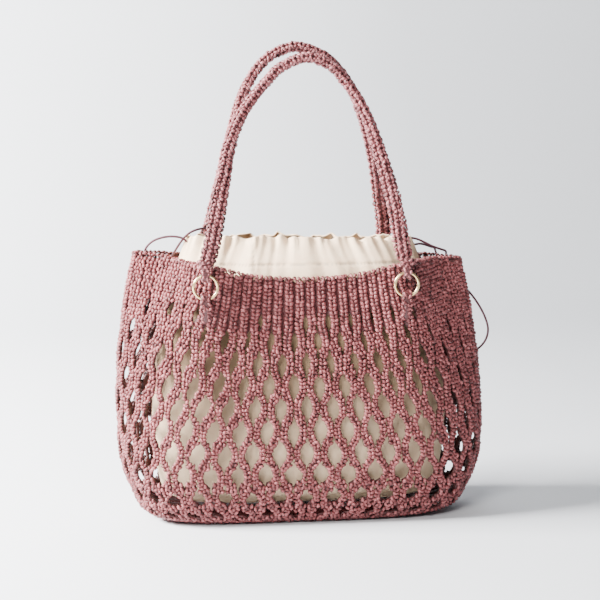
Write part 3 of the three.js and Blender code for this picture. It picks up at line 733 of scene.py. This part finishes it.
def strand(work, j, rng):
    """One rib's strand of stitches, from the base to the rim."""
    level = np.linspace(0, TOP_LEVEL, 460)
    middle, fill, taken = strand_shape(j, height_share(level) * RIM_HEIGHT)
    kernel = np.hanning(9)
    kernel /= kernel.sum()
    middle, fill, taken = (
        np.convolve(np.pad(v, 4, mode="edge"), kernel, "valid") for v in (middle, fill, taken)
    )
    points, _, _ = wall_frame(middle, level)
    s = arc_lengths(points)
    step = PITCH / 2
    count = int(s[-1] / step)
    at = step * (0.3 + 0.6 * rng.random()) + np.arange(count - 1) * step
    level = np.interp(at, s, level)
    middle = np.interp(at, s, middle)
    fill = np.interp(at, s, fill)
    taken = np.interp(at, s, taken)
    share = height_share(level)
    points, normals, around = wall_frame(middle, level)
    along = unit(np.gradient(points, axis=0))
    side = unit(np.cross(along, normals))
    rib = np.linalg.norm(np.cross(around, along), axis=1)
    full = np.maximum(fill, 0.3) * rib
    on_face = np.abs((j + 0.5 + QUARTER) % (2 * QUARTER) - QUARTER) < 10
    in_band = smooth((share - BAND_FOOT) / 0.1)
    limit = STRAND_LIMIT - (STRAND_LIMIT - RIB_WIDTH) * in_band * on_face
    width = np.minimum(full + 0.4, limit)
    crown = 1.3 * smooth((share - 0.6) / 0.15) if on_face else np.full_like(share, 0.4)
    in_gap = np.clip(taken / 0.15, 0, 1)
    backing = full + 2.0 - 3.4 * in_gap
    v = slice(0, None, 2)
    verts, faces = band(
        points[v], normals[v], side[v], backing[v], BACKING_DEPTH, BACKING_THICKNESS
    )
    # the backing is darkened with painted shade
    work.backing(verts, faces, deep=0.8)
    plump = GRAIN_RADIUS + 0.18 * in_band
    plait(
        work, points[v], along[v], normals[v], width[v], plump[v], rng,
        crown=crown[v], mirror=1.1,
    )


def rim_chain(work, first, count, rng):
    """The finishing row along the rim."""
    u = np.linspace(first, first + count, 400)
    points, normals, _ = wall_frame(u, np.full_like(u, TOP_LEVEL - 0.01))
    s = arc_lengths(points)
    at = np.arange(0, s[-1], RIM_PITCH)
    u = np.interp(at, s, u)
    points, normals, _ = wall_frame(u, np.full_like(u, TOP_LEVEL - 0.01))
    along = unit(np.gradient(points, axis=0))
    up = unit(normals * 0.35 + np.array([0, 0, 1.0]))
    up = unit(up - (up * along).sum(-1, keepdims=True) * along)
    at_end = smooth((np.abs(points[:, 0]) - 105) / 30)
    points = points + np.stack([0 * at_end, 0 * at_end, 1.9 * at_end - 2.9], axis=1)
    plait(work, points, along, up, 5.4, 1.3, rng, top=2.7, jitter=0.15, spacing=2.7)


RIBS_A_SIDE = 17
# each side's name and its first rib
BODY_SIDES = [("crochet_front", -9), ("crochet_right", 8), ("crochet_back", 25), ("crochet_left", 42)]
for number, (name, first) in enumerate(BODY_SIDES):
    work = Work()
    rng = np.random.default_rng(100 + number)
    for j in range(first, first + RIBS_A_SIDE):
        strand(work, j, rng)
    rim_chain(work, first, RIBS_A_SIDE, rng)
    dress(work.build(name), BODY_CORD, "crochet_cord", "net_wall")

# Base

BASE_THICKNESS = 6.0
BASE_PITCH = 4.2
BASE_ROUNDS = (4.6, 12.4, 20.2, 28.0, 35.8)
DEEPEST_ROUND = 35.0
MIDDLE_ROW_REACH = 64


def base_outline(inset, count):
    """The base's outline, moved in from the wall's foot."""
    u = np.linspace(0, RIBS, 721)
    edge = wall_point(u, np.zeros_like(u))[:, :2]
    along = unit(np.gradient(edge, axis=0))
    inward = np.stack([-along[:, 1], along[:, 0]], axis=1)
    inner = edge + inward * inset
    inner[:, 1] = np.where(np.abs(edge[:, 1]) < inset, 0, inner[:, 1])
    return resample(inner, count)


def make_base():
    """A flat plate with rounds of stitches above and below."""
    work = Work()
    rng = np.random.default_rng(7)
    plate = base_outline(0.4, 121)[:-1]
    n = len(plate)
    low = np.column_stack([plate, np.full(n, 1.4)])
    high = np.column_stack([plate, np.full(n, BASE_THICKNESS - 0.6)])
    sides = grid_quads(2, n)
    middle = [(0, 0, 1.4), (0, 0, BASE_THICKNESS - 0.6)]
    ring = np.arange(n)
    turn = (ring + 1) % n
    caps = np.concatenate(
        [
            np.stack([turn, ring, np.full(n, 2 * n)], axis=1),
            np.stack([n + ring, n + turn, np.full(n, 2 * n + 1)], axis=1),
        ]
    )
    walls = np.concatenate([sides[:, [0, 1, 2]], sides[:, [0, 2, 3]]])
    # the base's plate is darkened with painted shade
    work.backing(np.vstack([low, high, middle]), np.concatenate([walls, caps]), deep=0.6)
    for facing in (-1, 1):
        z = BASE_THICKNESS / 2
        for inset in BASE_ROUNDS:
            outline = base_outline(min(inset, DEEPEST_ROUND), 400)
            if inset > DEEPEST_ROUND:
                across = np.linspace(-MIDDLE_ROW_REACH, MIDDLE_ROW_REACH, 60)
                outline = np.column_stack([across, np.zeros(60)])
            line = resample(outline, max(3, int(arc_lengths(outline)[-1] / BASE_PITCH)))
            points = np.column_stack([line, np.full(len(line), z)])
            along = unit(np.gradient(points, axis=0))
            normals = np.tile([0.0, 0.0, facing], (len(points), 1))
            plait(work, points, along, normals, 8.0, 1.4, rng, top=2.85, jitter=0.08, spacing=4.0)
    return work.build("crochet_base")


dress(make_base(), BODY_CORD, "crochet_cord", "base")

# Rings, tabs and handles


def place_of_rings():
    """How far the rings' middles lie to the side and to the front or back, from the frame."""
    low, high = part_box("front_right_ring")
    return (low[0] + high[0]) / 2 / MM, -(low[1] + high[1]) / 2 / MM


RING_X, RING_Y = place_of_rings()


def ring_mesh(name, x, y):
    """A round ring of round wire that faces the front or the back."""
    around, wire = 72, 16
    a = np.arange(around) * 2 * math.pi / around
    b = np.arange(wire) * 2 * math.pi / wire
    r = RING_RADIUS + RING_WIRE / 2 * np.cos(b)[None]
    verts = np.stack(
        [
            x + np.cos(a)[:, None] * r,
            y + np.broadcast_to(RING_WIRE / 2 * np.sin(b)[None], (around, wire)),
            RING_Z + np.sin(a)[:, None] * r,
        ],
        axis=-1,
    )
    quads = grid_quads(around, wire, wrap_rows=True)[:, ::-1]
    return mesh_object(name, verts.reshape(-1, 3), [], quads=quads)


def strap(work, line, normals, width, columns, rng, radius=1.25, pitch=3.9, thickness=2.6):
    """A crochet strap of several columns of stitches, along a line in its own middle."""
    s = arc_lengths(line)
    count = max(3, int(s[-1] / (pitch / 2)) + 1)
    at = np.linspace(0, s[-1], count)
    line = np.stack([np.interp(at, s, line[:, k]) for k in range(3)], axis=1)
    normals = unit(np.stack([np.interp(at, s, normals[:, k]) for k in range(3)], axis=1))
    width = np.interp(at, s, width) if isinstance(width, np.ndarray) else np.full(count, width)
    along = unit(np.gradient(line, axis=0))
    normals = unit(normals - (normals * along).sum(-1, keepdims=True) * along)
    side = np.cross(along, normals)
    verts, faces = band(line, normals, side, width - 1.2, 0.2, thickness, 8)
    work.backing(verts, faces)
    for c in range(columns):
        shift = (c + 0.5) / columns - 0.5
        v = slice(c % 2, None, 2)
        column = line[v] + side[v] * (shift * width[v])[:, None]
        plait(
            work, column, along[v], normals[v], width[v] / columns, radius, rng,
            top=radius + 0.9, jitter=0.15,
        )


def half_circle(radius, centre, start, stop, count=14):
    a = np.radians(np.linspace(start, stop, count))
    return np.stack([radius * np.cos(a), centre + radius * np.sin(a)], axis=1)


def from_side_view(path, x, y, facing):
    """Side-view points (towards the bag, up from the ring's middle) as points in the frame."""
    return np.column_stack([np.full(len(path), x), y - facing * path[:, 0], RING_Z + path[:, 1]])


STRAP_MIDDLE = RING_WIRE / 2 + 0.45 + 1.7


def wrap_normals(path, x, y, facing, centre):
    """The path's points in the frame, and normals that point away from the strap's own loop."""
    line = from_side_view(path, x, y, facing)
    along = unit(np.gradient(line, axis=0))
    normals = np.cross(along, np.array([1.0, 0, 0]))
    middle = np.array([x, y, RING_Z + centre])
    if ((line - middle) * normals).sum() < 0:
        normals = -normals
    return line, unit(normals)


def tab(name, x, y, facing, seed):
    """A strap folded round a ring's foot. Facing is -1 on the front and 1 on the back."""
    rng = np.random.default_rng(seed)
    work = Work()
    low = -RING_RADIUS + 1.2
    path = np.vstack(
        [
            [(STRAP_MIDDLE, low - 12.0), (STRAP_MIDDLE, low - 6.0)],
            half_circle(STRAP_MIDDLE, low, 0, 180),
            [(-STRAP_MIDDLE, low - 5.0), (-STRAP_MIDDLE + 0.6, low - 10.0)],
            [(0.2, low - 17.0), (3.2, low - 24.0)],
        ]
    )
    line, normals = wrap_normals(resample(path, 60), x, y, facing, low - 4)
    width = np.interp(np.linspace(0, 1, 60), [0, 0.3, 0.7, 1], [9.0, 10.5, 11.5, 10.5])
    strap(work, line, normals, width, 2, rng, radius=1.3, thickness=2.4)
    obj = work.build(name + "_stitches")
    return dress(obj, BODY_CORD, "crochet_cord", name)


FRONT_ROUTE = [
    (-1, 0), (-0.952, 0.072), (-0.898, 0.194), (-0.806, 0.42), (-0.75, 0.552), (-0.6, 0.725),
    (-0.357, 0.879), (-0.205, 0.95), (0.062, 1), (0.309, 0.953), (0.468, 0.866), (0.637, 0.724),
    (0.826, 0.415), (0.896, 0.262), (0.964, 0.06), (1, 0),
]
BACK_ROUTE = [
    (-1, 0), (-0.874, 0.134), (-0.752, 0.374), (-0.614, 0.684), (-0.565, 0.76), (-0.452, 0.87),
    (-0.297, 0.949), (-0.03, 1), (0.239, 0.967), (0.375, 0.921), (0.537, 0.831), (0.697, 0.684),
    (0.87, 0.449), (0.943, 0.288), (1.005, 0.125), (1, 0),
]
HANDLE_PITCH = 3.9
HANDLE_WIDTH = 14.8
HANDLE_THICKNESS = 7.5
HANDLE_ROPE = 10.0
HANDLE_END_WIDTH = 8.5
HANDLE_COLUMNS = 5
CORE_SIDES = 10
CORE_INSET = 2.0
GRAIN_INSET = 3.0
EYE_RISE = 12.5
# height over the ring's middle line, half width, half depth and tilt of the turns that close an eye
CLOSING_TURNS = [(8.2, 5.6, 4.7, 0.8), (12.0, 6.2, 4.9, -0.6)]
HANDLE_START = RING_Z + RING_RADIUS + EYE_RISE * 0.62


def handle_line(route, rise, lean, facing, count):
    """The handle's own middle: the route's shares of the ring's place and of the rise."""
    points = [
        (
            across * RING_X,
            facing * RING_Y * (1 - lean * float(smooth(np.array(share)))),
            HANDLE_START + share * rise,
        )
        for across, share in route
    ]
    return centripetal(points, count)


def handle(name, route, rise, lean, facing, seed):
    """A flat strap at its ends that rolls up to a rope, with an eye at each ring."""
    rng = np.random.default_rng(seed)
    work = Work()
    line = handle_line(route, rise, lean, facing, 900)
    s = arc_lengths(line)
    step = HANDLE_PITCH / 2
    count = int(s[-1] / step)
    line = resample(line, count)
    along = unit(np.gradient(line, axis=0))
    across = unit(np.cross(np.tile([0.0, 1.0, 0.0], (count, 1)), along))
    through = np.cross(along, across)
    share = np.linspace(0, 1, count)
    from_end = np.minimum(share, 1 - share)
    rolled = smooth((from_end - 0.05) / 0.36)
    wide = HANDLE_WIDTH + (HANDLE_ROPE - HANDLE_WIDTH) * rolled
    width = HANDLE_END_WIDTH + (wide - HANDLE_END_WIDTH) * smooth(from_end / 0.023)
    thick = HANDLE_THICKNESS + (HANDLE_ROPE - HANDLE_THICKNESS) * rolled
    angle = (np.arange(CORE_SIDES) + 0.5) * 2 * math.pi / CORE_SIDES
    core = (
        line[:, None]
        + across[:, None] * ((width / 2 - CORE_INSET)[:, None] * np.cos(angle)[None])[..., None]
        + through[:, None] * ((thick / 2 - CORE_INSET)[:, None] * np.sin(angle)[None])[..., None]
    )
    quads = grid_quads(count, CORE_SIDES)
    fan = [(0, i + 1, i) for i in range(1, CORE_SIDES - 1)]
    last = (count - 1) * CORE_SIDES
    fan += [(last, last + i, last + i + 1) for i in range(1, CORE_SIDES - 1)]
    work.backing(core.reshape(-1, 3), np.concatenate([quads[:, [0, 1, 2]], quads[:, [0, 2, 3]], fan]))
    for c in range(HANDLE_COLUMNS):
        phase = 2 * math.pi * (c + 0.5) / HANDLE_COLUMNS + 0.5 * np.sin(share * 9.0 + seed)
        a = width / 2 - GRAIN_INSET
        b = thick / 2 - GRAIN_INSET
        place = line + across * (a * np.cos(phase))[:, None] + through * (b * np.sin(phase))[:, None]
        normal = unit(across * (np.cos(phase) / a)[:, None] + through * (np.sin(phase) / b)[:, None])
        v = slice(c % 2, None, 2)
        around = math.pi * (width + thick - 8) / HANDLE_COLUMNS
        plait(
            work, place[v], along[v], normal[v], around[v], 1.5, rng,
            top=3.05, jitter=0.14, spacing=4.6, slant=0.62, length=5.2,
        )
    for sign in (-1, 1):
        end_eye(work, sign * RING_X, facing * RING_Y, facing, rng)
    return dress(work.build(name + "_stitches"), HANDLE_CORD, "handle_cord", name)


def end_eye(work, x, y, facing, rng):
    """The strap's end round the top of a ring, and the turns that close it above the ring."""
    centre = RING_RADIUS - 1.4
    top = RING_RADIUS + EYE_RISE - 1.5
    path = np.vstack(
        [
            [(STRAP_MIDDLE - 0.6, top), (STRAP_MIDDLE, centre + 6)],
            half_circle(STRAP_MIDDLE, centre, 0, -180),
            [(-STRAP_MIDDLE, centre + 6), (-STRAP_MIDDLE + 0.6, top)],
        ]
    )
    line, normals = wrap_normals(resample(path, 60), x, y, facing, centre + 4)
    strap(work, line, normals, 8.6, 2, rng, radius=1.25, thickness=2.4)
    a = np.linspace(0, 2 * math.pi, 60)
    for height, rx, ry, tilt in CLOSING_TURNS:
        up = RING_Z + RING_RADIUS + height + tilt * np.cos(a)
        turns = np.stack([x + rx * np.cos(a), y + ry * np.sin(a), up], axis=1)
        out = unit(np.stack([np.cos(a) / rx, np.sin(a) / ry, 0 * a], axis=1))
        strap(work, turns, out, 4.6, 1, rng, radius=1.25, pitch=3.9, thickness=1.8)


for face, facing in (("front", -1), ("back", 1)):
    for end, sign in (("left", -1), ("right", 1)):
        x, y = sign * RING_X, facing * RING_Y
        obj = ring_mesh(f"{face}_{end}_ring_metal", x, y)
        dress(obj, PALE_GOLD, "ring_metal", f"{face}_{end}_ring")
        tab(f"{face}_{end}_tab", x, y, facing, 40 + 2 * facing + sign)
handle("front_handle", FRONT_ROUTE, 188.7, 0.7, -1, 11)
handle("back_handle", BACK_ROUTE, 199.7, 0.74, 1, 12)

# Pouch

# height, half width, half depth, outline's exponent, share of the gathers
POUCH_SECTIONS = np.array(
    [
        (19.0, 119, 41, 3.0, 0.0),
        (24.0, 129.2, 48.8, 3.0, 0.0),
        (44.5, 139.2, 55, 2.8, 0.0),
        (94, 143.5, 56.5, 2.6, 0.05),
        (163, 137.8, 50.2, 2.6, 0.1),
        (208, 127.8, 44.6, 2.6, 0.1),
        (233, 119.1, 42.0, 2.7, 0.2),
        (246, 115, 34, 2.6, 0.3),
        (252, 113, 28, 2.5, 0.5),
        (262, 109, 19.5, 2.4, 1.0),
        (267.5, 106.3, 14.5, 2.4, 1.2),
    ]
)


CHANNEL_Z = 244
SEAM_X = -46.0
DEEPEST_POUCH = 57
CLOTH = 1.1
POUCH_COLUMNS = 420
ANY_PHASE = 6.28
# how many times each wave goes round, and its size
WARP_WAVES = ((2, 0.5), (5, 0.5), (9, 0.35))
SHORT_WAVES = ((34, 1.0), (41, 0.6), (57, 0.45), (79, 0.25))
LONG_WAVES = ((9, 1.0), (13, 0.8), (19, 0.5))


def pouch_shell(z):
    """The pouch's smooth outline at the heights, and the share of the gathers there."""
    half_width, half_depth, power, gather = (
        np.interp(z, POUCH_SECTIONS[:, 0], POUCH_SECTIONS[:, k]) for k in range(1, 5)
    )
    for values in (half_width, half_depth):
        padded = np.pad(values, 3, mode="edge")
        values[4:-3] = np.convolve(padded, np.ones(7) / 7, "valid")[4:-3]
    a = np.arange(POUCH_COLUMNS) * 2 * math.pi / POUCH_COLUMNS
    e = (2 / power)[:, None]
    x = np.sign(np.cos(a)) * np.abs(np.cos(a)) ** e * half_width[:, None]
    y = np.sign(np.sin(a)) * np.abs(np.sin(a)) ** e * half_depth[:, None]
    return x, y, gather[:, None]


def pouch_waves(x, y, z, rng):
    """The way round the mouth as an angle, its uneven warp, and the short and long gathers."""
    outline = np.stack([x[-20], y[-20]], axis=1)
    around = arc_lengths(np.vstack([outline, outline[:1]]))
    total = around[-1]
    around = around[:-1]
    warp = np.zeros(POUCH_COLUMNS)
    for count, size in WARP_WAVES:
        warp += size * np.sin(2 * math.pi * count * around / total + rng.random() * ANY_PHASE)
    turns = 2 * math.pi * around / total
    short = np.zeros_like(x)
    for count, size in SHORT_WAVES:
        drift = rng.random() * ANY_PHASE + 0.4 * np.sin((z - 230) / 14 + rng.random() * 6)[:, None]
        short += size * np.sin(count * turns[None] + 1.6 * warp[None] + drift)
    long = np.zeros_like(x)
    for count, size in LONG_WAVES:
        long += size * np.sin(count * turns[None] + rng.random() * ANY_PHASE + (z / 60)[:, None])
    return turns, warp, short, long


def two_layers(points):
    """The cloth's outer and inner faces as one closed mesh: its vertices, triangles and quads."""
    rows, columns = points.shape[:2]
    normal = unit(np.cross(np.gradient(points, axis=1), np.gradient(points, axis=0)))
    inner = points - normal * CLOTH
    inner[0] = points[0] * np.array([0.99, 0.97, 1]) + np.array([0, 0, CLOTH])
    floor = points[0, 0, 2]
    middles = [(0, 0, floor), (0, 0, floor + CLOTH)]
    verts = np.vstack([points.reshape(-1, 3), inner[::-1].reshape(-1, 3), middles])
    bottom = 2 * rows * columns
    start = bottom - columns
    ring = np.arange(columns)
    turn = (ring + 1) % columns
    low = np.stack([turn, ring, np.full(columns, bottom)], axis=1)
    high = np.stack([start + ring, start + turn, np.full(columns, bottom + 1)], axis=1)
    return verts, np.concatenate([low, high]), grid_quads(2 * rows, columns)


def on_both_layers(values, at_middles):
    """Values at the outer face's points, for every vertex of the two layers."""
    return np.concatenate([values.ravel(), values[::-1].ravel(), [at_middles, at_middles]])


def make_pouch():
    """A thin open bag with gathers at its mouth, a sewn channel and one seam on the front."""
    z = np.concatenate([np.linspace(19, 30, 8), np.linspace(33, 225, 30), np.linspace(228, 267.5, 34)])
    x, y, gather = pouch_shell(z)
    turns, warp, short, long = pouch_waves(x, y, z, np.random.default_rng(21))
    channel = np.exp(-(((z - CHANNEL_Z) / 1.1) ** 2))[:, None]
    push = 0.8 * gather * short + 1.1 * smooth((z - 30) / 60)[:, None] * long
    push -= 1.1 * channel
    push -= 0.9 * np.exp(-(((x - SEAM_X) / 0.8) ** 2)) * (y < 0)
    outward = unit(np.stack([np.gradient(y, axis=1), -np.gradient(x, axis=1)], axis=-1))
    top = smooth((z - 258) / 9)[:, None]
    lift = top * (1.3 * np.sin(17 * turns + 2 * warp)[None] + 0.7 * short[-1][None])
    lift += top * np.where(x < 0, 1.2, -0.8)
    points = np.stack(
        [x + outward[..., 0] * push, y + outward[..., 1] * push, z[:, None] + lift], axis=-1
    )
    points[..., 1] = np.clip(points[..., 1], -DEEPEST_POUCH, DEEPEST_POUCH)
    stitch = 0.55 * channel * (np.sin(turns * 150) > -0.2) * (z > 240)[:, None]
    stitch = np.maximum(stitch, 0.5 * np.exp(-(((x - SEAM_X) / 0.5) ** 2)) * (y < 0))
    # painted shade for the cotton inside the net: darkest from just below the rim to the middle,
    # lighter towards the bottom
    enclosed = smooth((232 - z) / 12) * (0.85 - 0.62 * smooth((170 - z) / 110))
    enclosed = np.broadcast_to(enclosed[:, None], x.shape)
    shades = {"stitch": on_both_layers(stitch, 0), "enclosed": on_both_layers(enclosed, 0.5)}
    verts, tris, quads = two_layers(points)
    return mesh_object("cotton_pouch", verts, tris, shades, quads)


pouch = dress(make_pouch(), COTTON, "pouch_cotton", "pouch")

# Stage and light


def make_stage():
    """A floor that curves up into a plain backdrop, with painted light: lighter on the left and darker
    on the right.
    """
    profile = [(-2.2, 0.0), (1.1, 0.0)]
    for step in range(1, 13):
        a = math.pi / 2 * step / 12
        profile.append((1.1 + 0.9 * math.sin(a), 0.9 - 0.9 * math.cos(a)))
    profile.append((2.0, 3.5))
    verts = []
    for side in (-3.5, 3.5):
        verts += [(side * 1000, y * 1000, z * 1000 - 0.15) for y, z in profile]
    count = len(profile)
    quads = [(i, count + i, count + i + 1, i + 1) for i in range(count - 1)]
    obj = mesh_object("floor", verts, [], quads=quads)
    n = Nodes("floor")
    cloudy = n.noise(1.3, 2.0, 0.4)
    place = n.add("ShaderNodeSeparateXYZ")
    n.link(n.coordinates(), place.inputs["Vector"])
    # painted light: floor and backdrop get lighter to the left and darker to the right, as light from
    # a window on the left falls off
    across = n.math("MULTIPLY", n.math("ADD", place.outputs["X"], 0.6), 0.8)
    painted_falloff = n.math("ADD", across, n.math("MULTIPLY", cloudy, 0.06))
    colour = n.ramp(painted_falloff, [(0.1, (0.860, 0.880, 0.910)), (0.9, (0.550, 0.565, 0.590))])
    n.link(colour, n.shader.inputs["Base Color"])
    n.shader.inputs["Roughness"].default_value = 0.75
    n.shader.inputs["Specular IOR Level"].default_value = 0.2
    obj.data.materials.append(n.material)


make_stage()


def area_light(name, place, target, size, power, colour):
    """A rectangular light at a place in metres that faces a target."""
    light = bpy.data.lights.new(name, "AREA")
    light.shape = "RECTANGLE"
    light.size, light.size_y = size
    light.energy = power
    light.color = colour
    obj = bpy.data.objects.new(name, light)
    bpy.context.collection.objects.link(obj)
    obj.location = place
    obj.rotation_mode = "QUATERNION"
    obj.rotation_quaternion = (Vector(target) - Vector(place)).to_track_quat("-Z", "Y")


area_light("key", (-1.1, -1.9, 1.6), (0, 0, 0.15), (0.8, 0.8), 66, (1.0, 0.985, 0.96))
area_light("window", (-1.9, -0.15, 1.25), (0.05, 0.0, 0.1), (0.9, 0.5), 450, (1.0, 0.99, 0.98))
area_light("overhead", (-0.5, 0.3, 2.5), (0, 0.2, 0.1), (2.2, 2.2), 16, (0.97, 0.985, 1.0))

world = bpy.data.worlds.new("room")
world.use_nodes = True
background = world.node_tree.nodes["Background"]
background.inputs["Color"].default_value = (0.86, 0.90, 0.95, 1)
background.inputs["Strength"].default_value = 0.19
bpy.context.scene.world = world
